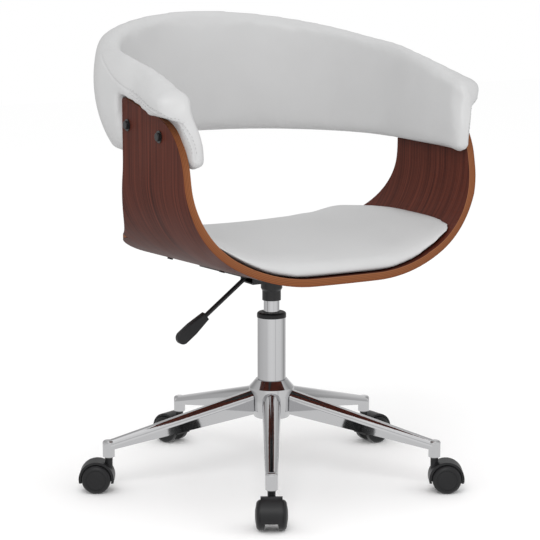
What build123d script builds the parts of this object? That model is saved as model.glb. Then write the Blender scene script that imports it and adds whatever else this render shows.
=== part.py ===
from build123d import *
import os
from math import asin, cos, degrees, radians, sin, sqrt, tan

os.makedirs("parts", exist_ok=True)

# The chair stands on the floor at z = 0 with its column on the Z axis. Its front faces -Y.

# Fits
running_clearance = 0.05
close_clearance = 0.02
soft_clearance = 0.3
bolt_hole_clearance = 0.3

# Base
leg_count = 5
front_leg_angle = -120.0
caster_circle_radius = 296.6
hub_radius = 40.0
hub_bottom = 112.0
hub_top = 179.5
hub_top_radius = 28.0
hub_bottom_radius = 31.0
hub_chamfer = 14.0
hub_flange = 6.0
leg_root_width = 33.0
leg_root_top = 161.5
leg_root_bottom = 120.5
leg_tip_width = 21.0
leg_tip_top = 90.8
leg_tip_bottom = 75.0
leg_sheet = 2.0
socket_drop = 13.0
socket_rounding = 4.5

# Casters
wheel_diameter = 50.0
wheel_width = 16.3
wheel_gap = 21.4
wheel_chamfer = 1.0
wheel_tread = 8.0
wheel_shoulder_radius = 17.4
wheel_groove_width = 0.9
wheel_groove_depth = 0.7
wheel_dome = 1.9
wheel_cap_radius = 3.0
axle_radius = 3.0
axle_length = 44.0
caster_trail = 21.0
caster_turn = (0.0, 18.0, -19.0, 16.0, -18.0)
hood_clearance = 1.2
hood_wall = 4.3
hood_width = 36.0
hood_skirt = 7.0
hood_web = 8.0
hood_hub_radius = 7.0
hood_side_gap = 0.4
neck_radius = 6.6
neck_depth = 32.0
stem_collar_radius = 7.0
stem_collar = 2.8
stem_shank_radius = 5.5
stem_shank = 22.0
stem_pin_radius = 4.0
stem_pin = 26.0

# Gas column
tube_radius = 25.0
tube_wall = 1.6
tube_top = 290.5
tube_floor = 4.0
bush_cap = 9.4
bush_overhang = 0.75
bush_rounding = 4.0
bush_depth = 66.0
cylinder_radius = 14.0
cylinder_wall = 2.0
cylinder_cap = 12.0
cylinder_top = 361.5
taper_length = 44.0
taper_shrink = 0.8
rod_radius = 5.0
rod_shoulder_radius = 9.0
rod_shoulder = 4.0
rod_foot_drop = 5.0
piston_thickness = 10.0
piston_headroom = 16.0
bearing_radius = 15.0
bearing_thickness = 6.0
bearing_washer = 2.0
buffer_radius = 11.0
buffer_thickness = 10.0
clip_radius = 8.0
clip_thickness = 1.5
clip_groove = 0.8
pin_radius = 2.5
pin_proud = 4.5
pin_head_radius = 4.0
pin_head = 3.0

# Seat plate, bracket and lever
sleeve_bottom = 321.1
sleeve_ring_top = 338.2
sleeve_ring_radius = 16.5
sleeve_radius = 19.0
sleeve_step = 4.0
plate_length = 200.0
plate_depth = 190.0
plate_thickness = 3.0
plate_corner = 18.0
bracket_sheet = 2.5
bracket_width = 44.0
bracket_depth = 24.0
bracket_left = 50.0
bracket_right = 60.0
lever_radius = 4.0
lever_gap = 0.4
lever_pivot = 45.0
lever_reach = 6.0
lever_droop = 37.0
lever_bend = 12.0
lever_pin_radius = 2.0
lever_pin_overhang = 2.5
grip_start = 108.0
grip_length = 68.0
grip_neck_width = 15.0
grip_width = 23.0
grip_thickness = 13.0
grip_bore = 32.0
grip_rounding = 3.0

# Plywood shell
seat_tilt = 1.6
shell_bottom = 382.2
shell_thickness = 13.0
shell_half_width = 281.0
flat_half_width = 60.0
belly_radius = 283.0
corner_radius = 160.0
shell_front = 250.0
shell_front_bow = 1250.0
front_lean = 10.8
front_edge_at_arm = 205.5
arm_gauge_height = 593.5
arm_top_slope = 10.5
arm_top_rear = 689.5
arm_rear = 10.0
arm_front_rounding = 108.0
arm_rear_rounding = 6.0
rear_sweep_radius = 150.0
rear_sweep_start = 583.5
front_flare_height = 423.5
shell_rear = 205.0
shell_rear_rounding = 95.0
shell_rear_half_width = 224.0

# Seat pad
pad_half_width = 223.0
pad_front_setback = 5.0
pad_rear_setback = 9.0
pad_rear_bow = 1400.0
pad_front_corner = 34.0
pad_rear_corner = 72.0
pad_top = 58.5
dish_radius = 1800.0
dish_half_width = 140.0
side_radius = 188.0
crown_radius = 2500.0
crown_center = 60.0
pad_rounding = 14.0
cover_thickness = 1.3
seat_board_thickness = 9.0

# Back pad
back_inner_radius = 247.0
back_bottom = 589.0
back_bottom_slope = 0.0125
back_lean = 0.079
back_middle_top = 751.5
back_top_slope = 0.2
back_top_curve = 0.00016
back_width = 44.0
back_taper = 2.0
back_roll = 16.0
back_bottom_roll = 11.5
back_front = 213.0
lip_gap = 1.0
lip_front_rise = 8.0
back_board_setback = 6.5
back_board_thickness = 6.0
back_board_bottom = 615.5
back_board_front = 160.0
back_board_top_front = 648.5
back_board_top_slope = 0.31

# Fasteners
plate_bolt_x = 48.0
plate_bolt_y = 72.0
bolt_radius = 3.0
bolt_head_radius = 5.5
bolt_head = 3.6
t_nut_radius = 4.6
t_nut_flange_radius = 8.5
t_nut_flange = 1.2
seat_screw_radius = 2.2
seat_screw_head_radius = 5.0
seat_screw_head = 2.6
seat_screw_x = 150.0
seat_screw_y = 95.0
seat_screw_bite = 6.0
arm_bolt_places = ((-9.7, 643.5), (-125.6, 634.5))
arm_bolt_head_radius = 7.0
arm_bolt_head = 4.2
arm_bolt_dome = 1.2
arm_washer_radius = 10.0
arm_washer = 1.6


# A piece turned on the column axis from a closed outline of (radius, height) points.
def turned(points):
    with BuildPart() as piece:
        with BuildSketch(Plane.XZ):
            with BuildLine():
                Polyline(*points, close=True)
            make_face()
        revolve(axis=Axis.Z)
    return piece


# Base hub
tube_bottom = hub_bottom + hub_flange
base_hub = turned(
    [
        (tube_radius - hub_flange, hub_bottom),
        (hub_bottom_radius, hub_bottom),
        (hub_radius, hub_bottom + hub_chamfer),
        (hub_radius, hub_top - hub_chamfer),
        (hub_top_radius, hub_top),
        (tube_radius + close_clearance, hub_top),
        (tube_radius + close_clearance, tube_bottom),
        (tube_radius - hub_flange, tube_bottom),
    ]
)
base_hub.part.label = "base_hub"
export_step(base_hub.part, "parts/base_hub.step")


# Outline of a leg across its length, at a distance from the column, drawn inset by a sheet's thickness.
def leg_outline(angle, distance, inset, drop):
    along = (distance - hub_radius) / (caster_circle_radius - hub_radius)
    half = (leg_root_width + along * (leg_tip_width - leg_root_width)) / 2 - inset
    top = leg_root_top + along * (leg_tip_top - leg_root_top) - inset
    bottom = leg_root_bottom + along * (leg_tip_bottom - leg_root_bottom) - drop
    direction = Vector(cos(radians(angle)), sin(radians(angle)), 0)
    across = Vector(-direction.Y, direction.X, 0)
    slant = half * sqrt(0.5)
    with BuildSketch(Plane(origin=direction * distance, x_dir=across, z_dir=direction)) as outline:
        with BuildLine():
            Line((-half, bottom), (-half, top - half))
            ThreePointArc((-half, top - half), (-slant, top - half + slant), (0, top))
            ThreePointArc((0, top), (slant, top - half + slant), (half, top - half))
            Line((half, top - half), (half, bottom))
            Line((half, bottom), (-half, bottom))
        make_face()
    return outline.sketch


# Legs: pressed channels, open below, each with a round caster socket at its tip
socket_bottom = leg_tip_bottom - socket_drop
socket_radius = leg_tip_width / 2
stem_top = socket_bottom + stem_shank
leg_angles = [front_leg_angle + 360.0 / leg_count * number for number in range(leg_count)]
leg_tips = [
    Vector(cos(radians(angle)), sin(radians(angle)), 0) * caster_circle_radius for angle in leg_angles
]
for number in range(leg_count):
    angle = leg_angles[number]
    tip = leg_tips[number]
    tip_plane = Plane(origin=tip, x_dir=tip.normalized(), z_dir=tip.normalized().cross(Vector(0, 0, 1)))
    with BuildPart() as base_leg:
        leg_root = leg_outline(angle, hub_radius - leg_sheet, 0, 0)
        leg_tip = leg_outline(angle, caster_circle_radius, 0, 0)
        loft(sections=(leg_root, leg_tip), ruled=True)
        hollow_root = leg_outline(angle, hub_radius - 2 * leg_sheet, leg_sheet, leg_sheet)
        hollow_tip = leg_outline(angle, caster_circle_radius - socket_radius, leg_sheet, leg_sheet)
        loft(sections=(hollow_root, hollow_tip), ruled=True, mode=Mode.SUBTRACT)
        with BuildSketch(tip_plane):
            with BuildLine():
                Line((0, socket_bottom), (socket_radius, socket_bottom))
                Line((socket_radius, socket_bottom), (socket_radius, leg_tip_top - socket_rounding))
                RadiusArc(
                    (socket_radius, leg_tip_top - socket_rounding),
                    (socket_radius - socket_rounding, leg_tip_top),
                    -socket_rounding,
                )
                Line((socket_radius - socket_rounding, leg_tip_top), (0, leg_tip_top))
                Line((0, leg_tip_top), (0, socket_bottom))
            make_face()
        revolve(axis=Axis(tip, (0, 0, 1)))
        with BuildSketch(Plane.XY.offset(socket_bottom)):
            with Locations((tip.X, tip.Y)):
                Circle(stem_shank_radius + close_clearance)
        extrude(amount=stem_shank + close_clearance, mode=Mode.SUBTRACT)
        with BuildSketch(Plane.XY.offset(hub_bottom)):
            Circle(hub_radius + close_clearance)
        extrude(amount=hub_top - hub_bottom, mode=Mode.SUBTRACT)
    base_leg.part.label = f"base_leg_{number + 1}"
    export_step(base_leg.part, f"parts/base_leg_{number + 1}.step")

# Casters: a stem pressed into the leg, a hood that turns on it, an axle and two domed wheels
wheel_radius = wheel_diameter / 2
collar_bottom = socket_bottom - stem_collar
neck_top = collar_bottom - soft_clearance
hood_inner = wheel_radius + hood_clearance
hood_outer = hood_inner + hood_wall
hub_half_length = wheel_gap / 2 - hood_side_gap
wheel_inner = wheel_gap / 2
wheel_outer = wheel_inner + wheel_width
wheel_bore_end = axle_length / 2 + hood_side_gap
tread_end = wheel_inner + wheel_chamfer + wheel_tread
shoulder = wheel_outer - wheel_dome
for number in range(leg_count):
    tip = leg_tips[number]
    trail_angle = radians(leg_angles[number] + caster_turn[number])
    trail = Vector(cos(trail_angle), sin(trail_angle), 0)
    axle_direction = trail.cross(Vector(0, 0, 1))
    wheel_center = tip + trail * caster_trail + Vector(0, 0, wheel_radius)
    side_plane = Plane(origin=wheel_center, x_dir=trail, z_dir=axle_direction)
    stem_axis = Axis(tip, (0, 0, 1))
    stem_plane = Plane(origin=tip, x_dir=trail, z_dir=axle_direction)

    with BuildPart() as caster_stem:
        with BuildSketch(stem_plane):
            with BuildLine():
                Polyline(
                    (0, collar_bottom - stem_pin),
                    (stem_pin_radius, collar_bottom - stem_pin),
                    (stem_pin_radius, collar_bottom),
                    (stem_collar_radius, collar_bottom),
                    (stem_collar_radius, socket_bottom),
                    (stem_shank_radius, socket_bottom),
                    (stem_shank_radius, stem_top),
                    (0, stem_top),
                    close=True,
                )
            make_face()
        revolve(axis=stem_axis)
    caster_stem.part.label = f"caster_stem_{number + 1}"
    export_step(caster_stem.part, f"parts/caster_stem_{number + 1}.step")

    with BuildPart() as caster_hood:
        with BuildSketch(side_plane):
            Circle(hood_outer)
            Circle(hood_inner, mode=Mode.SUBTRACT)
            with Locations((0, -hood_skirt)):
                Rectangle(3 * hood_outer, hood_outer, align=(Align.CENTER, Align.MAX), mode=Mode.SUBTRACT)
        extrude(amount=hood_width / 2, both=True)
        with BuildSketch(side_plane):
            Circle(hood_inner + hood_wall / 2)
            with Locations((0, -hood_skirt)):
                Rectangle(3 * hood_outer, hood_outer, align=(Align.CENTER, Align.MAX), mode=Mode.SUBTRACT)
        extrude(amount=hood_web / 2, both=True)
        with BuildSketch(side_plane):
            Circle(hood_hub_radius)
        extrude(amount=hub_half_length, both=True)
        with BuildSketch(Plane.XY.offset(neck_top)):
            with Locations((tip.X, tip.Y)):
                Circle(neck_radius)
        extrude(amount=-neck_depth)
        with BuildSketch(Plane.XY.offset(neck_top)):
            with Locations((tip.X, tip.Y)):
                Circle(stem_pin_radius + running_clearance)
        extrude(amount=-stem_pin, mode=Mode.SUBTRACT)
        with BuildSketch(side_plane):
            Circle(axle_radius + close_clearance)
        extrude(amount=hood_width, both=True, mode=Mode.SUBTRACT)
    caster_hood.part.label = f"caster_hood_{number + 1}"
    export_step(caster_hood.part, f"parts/caster_hood_{number + 1}.step")

    with BuildPart() as caster_axle:
        with BuildSketch(side_plane):
            Circle(axle_radius)
        extrude(amount=axle_length / 2, both=True)
    caster_axle.part.label = f"caster_axle_{number + 1}"
    export_step(caster_axle.part, f"parts/caster_axle_{number + 1}.step")

    for side, direction in (("left", axle_direction), ("right", axle_direction * -1)):
        wheel_plane = Plane(origin=wheel_center, x_dir=direction, z_dir=direction.cross(Vector(0, 0, 1)))
        bore = axle_radius + running_clearance
        groove_inner = wheel_shoulder_radius - wheel_groove_width
        with BuildPart() as caster_wheel:
            with BuildSketch(wheel_plane):
                with BuildLine():
                    Polyline(
                        (wheel_outer, 0),
                        (wheel_bore_end, 0),
                        (wheel_bore_end, bore),
                        (wheel_inner, bore),
                        (wheel_inner, wheel_radius - wheel_chamfer),
                        (wheel_inner + wheel_chamfer, wheel_radius),
                        (tread_end, wheel_radius),
                    )
                    ThreePointArc(
                        (tread_end, wheel_radius),
                        ((2 * shoulder + tread_end) / 3, (2 * wheel_radius + wheel_shoulder_radius) / 3),
                        (shoulder, wheel_shoulder_radius),
                    )
                    Polyline(
                        (shoulder, wheel_shoulder_radius),
                        (shoulder - wheel_groove_depth, wheel_shoulder_radius),
                        (shoulder - wheel_groove_depth, groove_inner),
                        (shoulder, groove_inner),
                    )
                    ThreePointArc(
                        (shoulder, groove_inner),
                        (wheel_outer - wheel_dome / 4, (groove_inner + wheel_cap_radius) / 2),
                        (wheel_outer, wheel_cap_radius),
                    )
                    Line((wheel_outer, wheel_cap_radius), (wheel_outer, 0))
                make_face()
            revolve(axis=Axis(wheel_center, direction))
        caster_wheel.part.label = f"caster_wheel_{side}_{number + 1}"
        export_step(caster_wheel.part, f"parts/caster_wheel_{side}_{number + 1}.step")

# Column tube with its floor, resting on the hub's flange
tube_inner = tube_radius - tube_wall
column_tube = turned(
    [
        (rod_radius + soft_clearance, tube_bottom),
        (tube_radius, tube_bottom),
        (tube_radius, tube_top),
        (tube_inner, tube_top),
        (tube_inner, tube_bottom + tube_floor),
        (rod_radius + soft_clearance, tube_bottom + tube_floor),
    ]
)
column_tube.part.label = "column_tube"
export_step(column_tube.part, "parts/column_tube.step")

# Guide bush with a rounded black cap
bush_bore = cylinder_radius + running_clearance
bush_cap_radius = tube_radius + bush_overhang
bush_top = tube_top + bush_cap
with BuildPart() as guide_bush:
    with BuildSketch(Plane.XZ):
        with BuildLine():
            Polyline(
                (bush_cap_radius - bush_rounding, bush_top),
                (bush_bore, bush_top),
                (bush_bore, tube_top - bush_depth),
                (tube_inner - running_clearance, tube_top - bush_depth),
                (tube_inner - running_clearance, tube_top),
                (bush_cap_radius, tube_top),
                (bush_cap_radius, bush_top - bush_rounding),
            )
            RadiusArc(
                (bush_cap_radius, bush_top - bush_rounding),
                (bush_cap_radius - bush_rounding, bush_top),
                -bush_rounding,
            )
        make_face()
    revolve(axis=Axis.Z)
guide_bush.part.label = "guide_bush"
export_step(guide_bush.part, "parts/guide_bush.step")

# Thrust bearing and washer on the tube floor
bearing_bottom = tube_bottom + tube_floor
washer_bottom = bearing_bottom + bearing_thickness
shoulder_bottom = washer_bottom + bearing_washer
bearing_bore = rod_radius + soft_clearance
thrust_bearing = turned(
    [
        (bearing_bore, bearing_bottom),
        (bearing_radius, bearing_bottom),
        (bearing_radius, washer_bottom),
        (bearing_bore, washer_bottom),
    ]
)
thrust_bearing.part.label = "thrust_bearing"
export_step(thrust_bearing.part, "parts/thrust_bearing.step")

bearing_plate = turned(
    [
        (bearing_bore, washer_bottom),
        (bearing_radius, washer_bottom),
        (bearing_radius, shoulder_bottom),
        (bearing_bore, shoulder_bottom),
    ]
)
bearing_plate.part.label = "bearing_washer"
export_step(bearing_plate.part, "parts/bearing_washer.step")

# Piston rod: its shoulder turns on the washer, its foot passes the tube floor, its piston is in the cylinder
shoulder_top = shoulder_bottom + rod_shoulder
foot_bottom = tube_bottom - rod_foot_drop
clip_top = tube_bottom - soft_clearance
clip_bottom = clip_top - clip_thickness
chamber_top = cylinder_top - taper_length
piston_top = chamber_top - piston_headroom
piston_bottom = piston_top - piston_thickness
chamber_radius = cylinder_radius - cylinder_wall
piston_radius = chamber_radius - running_clearance
piston_rod = turned(
    [
        (0, foot_bottom),
        (rod_radius, foot_bottom),
        (rod_radius, clip_bottom),
        (rod_radius - clip_groove, clip_bottom),
        (rod_radius - clip_groove, clip_top),
        (rod_radius, clip_top),
        (rod_radius, shoulder_bottom),
        (rod_shoulder_radius, shoulder_bottom),
        (rod_shoulder_radius, shoulder_top),
        (rod_radius, shoulder_top),
        (rod_radius, piston_bottom),
        (piston_radius, piston_bottom),
        (piston_radius, piston_top),
        (0, piston_top),
    ]
)
piston_rod.part.label = "piston_rod"
export_step(piston_rod.part, "parts/piston_rod.step")

retaining_clip = turned(
    [
        (rod_radius - clip_groove, clip_bottom),
        (clip_radius, clip_bottom),
        (clip_radius, clip_top),
        (rod_radius - clip_groove, clip_top),
    ]
)
retaining_clip.part.label = "retaining_clip"
export_step(retaining_clip.part, "parts/retaining_clip.step")

# Rubber buffer under the cylinder
buffer_top = shoulder_top + buffer_thickness
buffer_bore = rod_radius + running_clearance
buffer = turned(
    [
        (buffer_bore, shoulder_top),
        (buffer_radius, shoulder_top),
        (buffer_radius, buffer_top),
        (buffer_bore, buffer_top),
    ]
)
buffer.part.label = "buffer"
export_step(buffer.part, "parts/buffer.step")

# Gas cylinder with its tapered head
cylinder_bottom = buffer_top + soft_clearance
taper_start = cylinder_top - taper_length
taper_radius = cylinder_radius - taper_shrink
pin_bore = pin_radius + running_clearance
gas_cylinder = turned(
    [
        (rod_radius + running_clearance, cylinder_bottom),
        (cylinder_radius, cylinder_bottom),
        (cylinder_radius, taper_start),
        (taper_radius, cylinder_top),
        (pin_bore, cylinder_top),
        (pin_bore, chamber_top),
        (chamber_radius, chamber_top),
        (chamber_radius, cylinder_bottom + cylinder_cap),
        (rod_radius + running_clearance, cylinder_bottom + cylinder_cap),
    ]
)
gas_cylinder.part.label = "gas_cylinder"
export_step(gas_cylinder.part, "parts/gas_cylinder.step")

# Release pin that the lever presses down
pin_top = cylinder_top + pin_proud
release_pin = turned(
    [
        (0, chamber_top - soft_clearance - pin_head),
        (pin_head_radius, chamber_top - soft_clearance - pin_head),
        (pin_head_radius, chamber_top - soft_clearance),
        (pin_radius, chamber_top - soft_clearance),
        (pin_radius, pin_top),
        (0, pin_top),
    ]
)
release_pin.part.label = "release_pin"
export_step(release_pin.part, "parts/release_pin.step")

# The seat's own frame: its cross plane is square to the tilted seat and looks forward
tilt = radians(seat_tilt)
seat_up = Vector(0, sin(tilt), cos(tilt))
seat_forward = Vector(0, -cos(tilt), sin(tilt))
seat_origin = Vector(0, 0, shell_bottom)
cross_plane = Plane(origin=seat_origin, x_dir=(1, 0, 0), z_dir=seat_forward)
seat_plane = Plane(origin=seat_origin, x_dir=(1, 0, 0), z_dir=seat_up)
bracket_bottom = shell_bottom - plate_thickness - bracket_depth

# Taper socket: a stepped sleeve that holds the cylinder's head and stands in the bracket
wedge = taper_shrink / taper_length
sleeve_top = bracket_bottom + bracket_sheet
taper_socket = turned(
    [
        (cylinder_radius - wedge * (sleeve_bottom - taper_start) + close_clearance, sleeve_bottom),
        (sleeve_ring_radius, sleeve_bottom),
        (sleeve_ring_radius, sleeve_ring_top),
        (sleeve_radius, sleeve_ring_top + sleeve_step),
        (sleeve_radius, sleeve_top),
        (cylinder_radius - wedge * (sleeve_top - taper_start) + close_clearance, sleeve_top),
    ]
)
taper_socket.part.label = "taper_socket"
export_step(taper_socket.part, "parts/taper_socket.step")

# Seat plate under the shell
plate_bolt_spots = [(x, y) for x in (-plate_bolt_x, plate_bolt_x) for y in (-plate_bolt_y, plate_bolt_y)]
with BuildPart() as seat_plate:
    with BuildSketch(seat_plane):
        RectangleRounded(plate_length, plate_depth, plate_corner)
        with Locations(*plate_bolt_spots):
            Circle(bolt_radius + bolt_hole_clearance, mode=Mode.SUBTRACT)
    extrude(amount=-plate_thickness)
seat_plate.part.label = "seat_plate"
export_step(seat_plate.part, "parts/seat_plate.step")

# Lever bracket: a channel welded under the plate, open at the lever's end
lever_height = pin_top + lever_gap + lever_radius
bracket_half = bracket_width / 2
with BuildPart() as lever_bracket:
    with BuildSketch(Plane.YZ.offset(-bracket_left)):
        with BuildLine():
            Polyline(
                (-bracket_half, shell_bottom),
                (-bracket_half, bracket_bottom),
                (bracket_half, bracket_bottom),
                (bracket_half, shell_bottom),
                (bracket_half - bracket_sheet, shell_bottom),
                (bracket_half - bracket_sheet, bracket_bottom + bracket_sheet),
                (-bracket_half + bracket_sheet, bracket_bottom + bracket_sheet),
                (-bracket_half + bracket_sheet, shell_bottom),
                close=True,
            )
        make_face()
    extrude(amount=bracket_left + bracket_right)
    with BuildSketch(Plane.XY.offset(bracket_bottom)):
        Circle(sleeve_radius + close_clearance)
    extrude(amount=bracket_sheet, mode=Mode.SUBTRACT)
    with BuildSketch(Plane.XZ):
        with Locations((-lever_pivot, lever_height)):
            Circle(lever_pin_radius + close_clearance)
    extrude(amount=bracket_width, both=True, mode=Mode.SUBTRACT)
    split(bisect_by=seat_plane.offset(-plate_thickness), keep=Keep.BOTTOM)
lever_bracket.part.label = "lever_bracket"
export_step(lever_bracket.part, "parts/lever_bracket.step")

with BuildPart() as lever_pivot_pin:
    with BuildSketch(Plane.XZ):
        with Locations((-lever_pivot, lever_height)):
            Circle(lever_pin_radius)
    extrude(amount=bracket_half + lever_pin_overhang, both=True)
lever_pivot_pin.part.label = "lever_pivot_pin"
export_step(lever_pivot_pin.part, "parts/lever_pivot_pin.step")

# Lever: a bent rod that turns on the pivot pin, and a flat grip on its end
droop = radians(lever_droop)
lever_bend_point = Vector(-lever_pivot, 0, lever_height)
lever_line = Vector(-cos(droop), 0, -sin(droop))
rod_end = lever_bend_point + lever_line * (grip_start + grip_bore)
rod_tip = Vector(lever_reach, 0, lever_height)
with BuildPart() as lever_rod:
    with BuildLine():
        FilletPolyline(rod_tip, lever_bend_point, rod_end, radius=lever_bend)
    with BuildSketch(Plane(origin=rod_tip, x_dir=(0, 1, 0), z_dir=(-1, 0, 0))):
        Circle(lever_radius)
    sweep()
    with BuildSketch(Plane.XZ):
        with Locations((-lever_pivot, lever_height)):
            Circle(lever_pin_radius + running_clearance)
    extrude(amount=2 * lever_radius, both=True, mode=Mode.SUBTRACT)
lever_rod.part.label = "lever_rod"
export_step(lever_rod.part, "parts/lever_rod.step")

grip_origin = lever_bend_point + lever_line * grip_start
grip_plane = Plane(origin=grip_origin, x_dir=lever_line, z_dir=(0, -1, 0))
grip_half = grip_width / 2
grip_neck = grip_neck_width / 2
with BuildPart() as lever_grip:
    with BuildSketch(grip_plane):
        with BuildLine():
            Polyline(
                (grip_length - grip_half, -grip_half),
                (grip_length / 2, -grip_half),
                (0, -grip_neck),
                (0, grip_neck),
                (grip_length / 2, grip_half),
                (grip_length - grip_half, grip_half),
            )
            ThreePointArc(
                (grip_length - grip_half, grip_half),
                (grip_length, 0),
                (grip_length - grip_half, -grip_half),
            )
        make_face()
    extrude(amount=grip_thickness / 2, both=True)
    fillet(lever_grip.faces().filter_by(Axis.Y).edges(), grip_rounding)
    with BuildSketch(Plane(origin=grip_origin, x_dir=(0, 1, 0), z_dir=lever_line)):
        Circle(lever_radius + close_clearance)
    extrude(amount=grip_bore, mode=Mode.SUBTRACT)
lever_grip.part.label = "lever_grip"
export_step(lever_grip.part, "parts/lever_grip.step")

# The U of the shell: a flat, a wide belly arc, a corner arc and an upright wall, at a depth from its outside
belly_turn = degrees(
    asin((shell_half_width - flat_half_width - corner_radius) / (belly_radius - corner_radius))
)
wall_start = belly_radius - (belly_radius - corner_radius) * cos(radians(belly_turn))
corner_x = shell_half_width - corner_radius
wall_top = arm_top_rear + shell_thickness - shell_bottom
wall_inner = shell_half_width - shell_thickness


def u_half(depth, end_turn):
    Line((0, depth), (flat_half_width, depth))
    CenterArc((flat_half_width, belly_radius), belly_radius - depth, -90, belly_turn)
    CenterArc((corner_x, wall_start), corner_radius - depth, belly_turn - 90, end_turn - belly_turn)


# Side outline of the arms
arm_top_fall = tan(radians(arm_top_slope))
front_fall = tan(radians(front_lean))
arm_top_run = arm_rear + front_edge_at_arm + front_fall * arm_gauge_height
arm_corner_height = (arm_top_rear - arm_top_fall * arm_top_run) / (1 - arm_top_fall * front_fall)
arm_corner_y = -front_edge_at_arm + front_fall * (arm_corner_height - arm_gauge_height)
flare_y = -front_edge_at_arm + front_fall * (front_flare_height - arm_gauge_height)
outline_reach = shell_front + shell_rear
sweep_end_y = arm_rear + rear_sweep_radius
sweep_end_z = rear_sweep_start - rear_sweep_radius
slant = rear_sweep_radius * sqrt(0.5)
pad_bed = shell_thickness + soft_clearance


# Plan arc of the front edge, bowed forward in the middle
def front_arc(setback, half):
    sag = half * half / (2 * shell_front_bow)
    middle = setback - shell_front
    ThreePointArc((-half, middle + sag), (0, middle), (half, middle + sag))
    return middle + sag


# Places of the screws that hold the seat board, square to the belly of the shell
screw_turn = asin((seat_screw_x - flat_half_width) / belly_radius)
seat_screw_planes = []
for side in (-1, 1):
    for y in (-seat_screw_y, seat_screw_y):
        spot = cross_plane.from_local_coords(
            (
                side * (flat_half_width + belly_radius * sin(screw_turn)),
                belly_radius * (1 - cos(screw_turn)),
                -y,
            )
        )
        outward = Vector(side * sin(screw_turn), 0, 0) - seat_up * cos(screw_turn)
        seat_screw_planes.append(Plane(origin=spot, x_dir=seat_forward, z_dir=outward))

# Plywood shell
with BuildPart() as plywood_shell:
    with BuildSketch(cross_plane.offset(-outline_reach)):
        with BuildLine():
            u_half(0, 90)
            Line((shell_half_width, wall_start), (shell_half_width, wall_top))
            Line((shell_half_width, wall_top), (wall_inner, wall_top))
            Line((wall_inner, wall_top), (wall_inner, wall_start))
            u_half(shell_thickness, 90)
            Line((0, shell_thickness), (0, 0))
        make_face()
        mirror(about=Plane.YZ)
    extrude(amount=2 * outline_reach)
    with BuildSketch(Plane.YZ.offset(-2 * shell_half_width)):
        with BuildLine():
            Polyline(
                (sweep_end_y, sweep_end_z),
                (outline_reach, sweep_end_z),
                (outline_reach, hub_top),
                (-outline_reach, hub_top),
                (-outline_reach, front_flare_height),
                (flare_y, front_flare_height),
                (arm_corner_y, arm_corner_height),
                (arm_rear, arm_top_rear),
                (arm_rear, rear_sweep_start),
            )
            ThreePointArc(
                (arm_rear, rear_sweep_start),
                (sweep_end_y - slant, rear_sweep_start - slant),
                (sweep_end_y, sweep_end_z),
            )
        side_outline = make_face()
        front_top = side_outline.vertices().sort_by_distance((arm_corner_y, arm_corner_height))[0]
        fillet(front_top, arm_front_rounding)
        rear_top = vertices().sort_by_distance((arm_rear, arm_top_rear))[0]
        fillet(rear_top, arm_rear_rounding)
    extrude(amount=4 * shell_half_width, mode=Mode.INTERSECT)
    with BuildSketch(Plane.XY):
        with BuildLine():
            front_y = front_arc(0, shell_half_width + shell_thickness)
            half = shell_half_width + shell_thickness
            rear_start = shell_rear - shell_rear_rounding
            rear_x = shell_rear_half_width - shell_rear_rounding
            Line((half, front_y), (half, rear_start))
            Line((half, rear_start), (shell_rear_half_width, rear_start))
            RadiusArc((shell_rear_half_width, rear_start), (rear_x, shell_rear), -shell_rear_rounding)
            Line((rear_x, shell_rear), (-rear_x, shell_rear))
            RadiusArc((-rear_x, shell_rear), (-shell_rear_half_width, rear_start), -shell_rear_rounding)
            Line((-shell_rear_half_width, rear_start), (-half, rear_start))
            Line((-half, rear_start), (-half, front_y))
        make_face()
    extrude(amount=arm_top_rear + shell_thickness, mode=Mode.INTERSECT)
    with BuildSketch(seat_plane):
        with Locations(*plate_bolt_spots):
            Circle(t_nut_radius + close_clearance)
    extrude(amount=shell_thickness, mode=Mode.SUBTRACT)
    with BuildSketch(*seat_screw_planes):
        Circle(seat_screw_radius + bolt_hole_clearance)
    extrude(amount=-2 * shell_thickness, mode=Mode.SUBTRACT)
    with BuildSketch(Plane.YZ):
        with Locations(*arm_bolt_places):
            Circle(bolt_radius + bolt_hole_clearance)
    extrude(amount=shell_half_width + shell_thickness, both=True, mode=Mode.SUBTRACT)
plywood_shell.part.label = "plywood_shell"
export_step(plywood_shell.part, "parts/plywood_shell.step")


# Region above the U of the shell at a depth from its outside, as long as the seat
def trough(depth):
    with BuildPart() as space:
        with BuildSketch(cross_plane.offset(-outline_reach)):
            with BuildLine():
                u_half(depth, 90)
                Line((shell_half_width - depth, wall_start), (shell_half_width - depth, wall_top))
                Line((shell_half_width - depth, wall_top), (0, wall_top))
                Line((0, wall_top), (0, depth))
            make_face()
            mirror(about=Plane.YZ)
        extrude(amount=2 * outline_reach)
    return space.part


# Seat pad body: its top is dished across and crowned front to back, its bottom lies in the shell
dish_turn = asin(dish_half_width / dish_radius)
crown_plane = cross_plane.offset(-crown_center)
crown_axis = Axis(crown_plane.from_local_coords((0, pad_top - crown_radius, 0)), (1, 0, 0))
crown_turn = degrees(outline_reach / crown_radius)
side_x = (dish_radius - side_radius) * sin(dish_turn)
side_y = pad_top + dish_radius - (dish_radius - side_radius) * cos(dish_turn)
side_turn = asin((shell_half_width - corner_radius / 4 - side_x) / side_radius)


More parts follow.
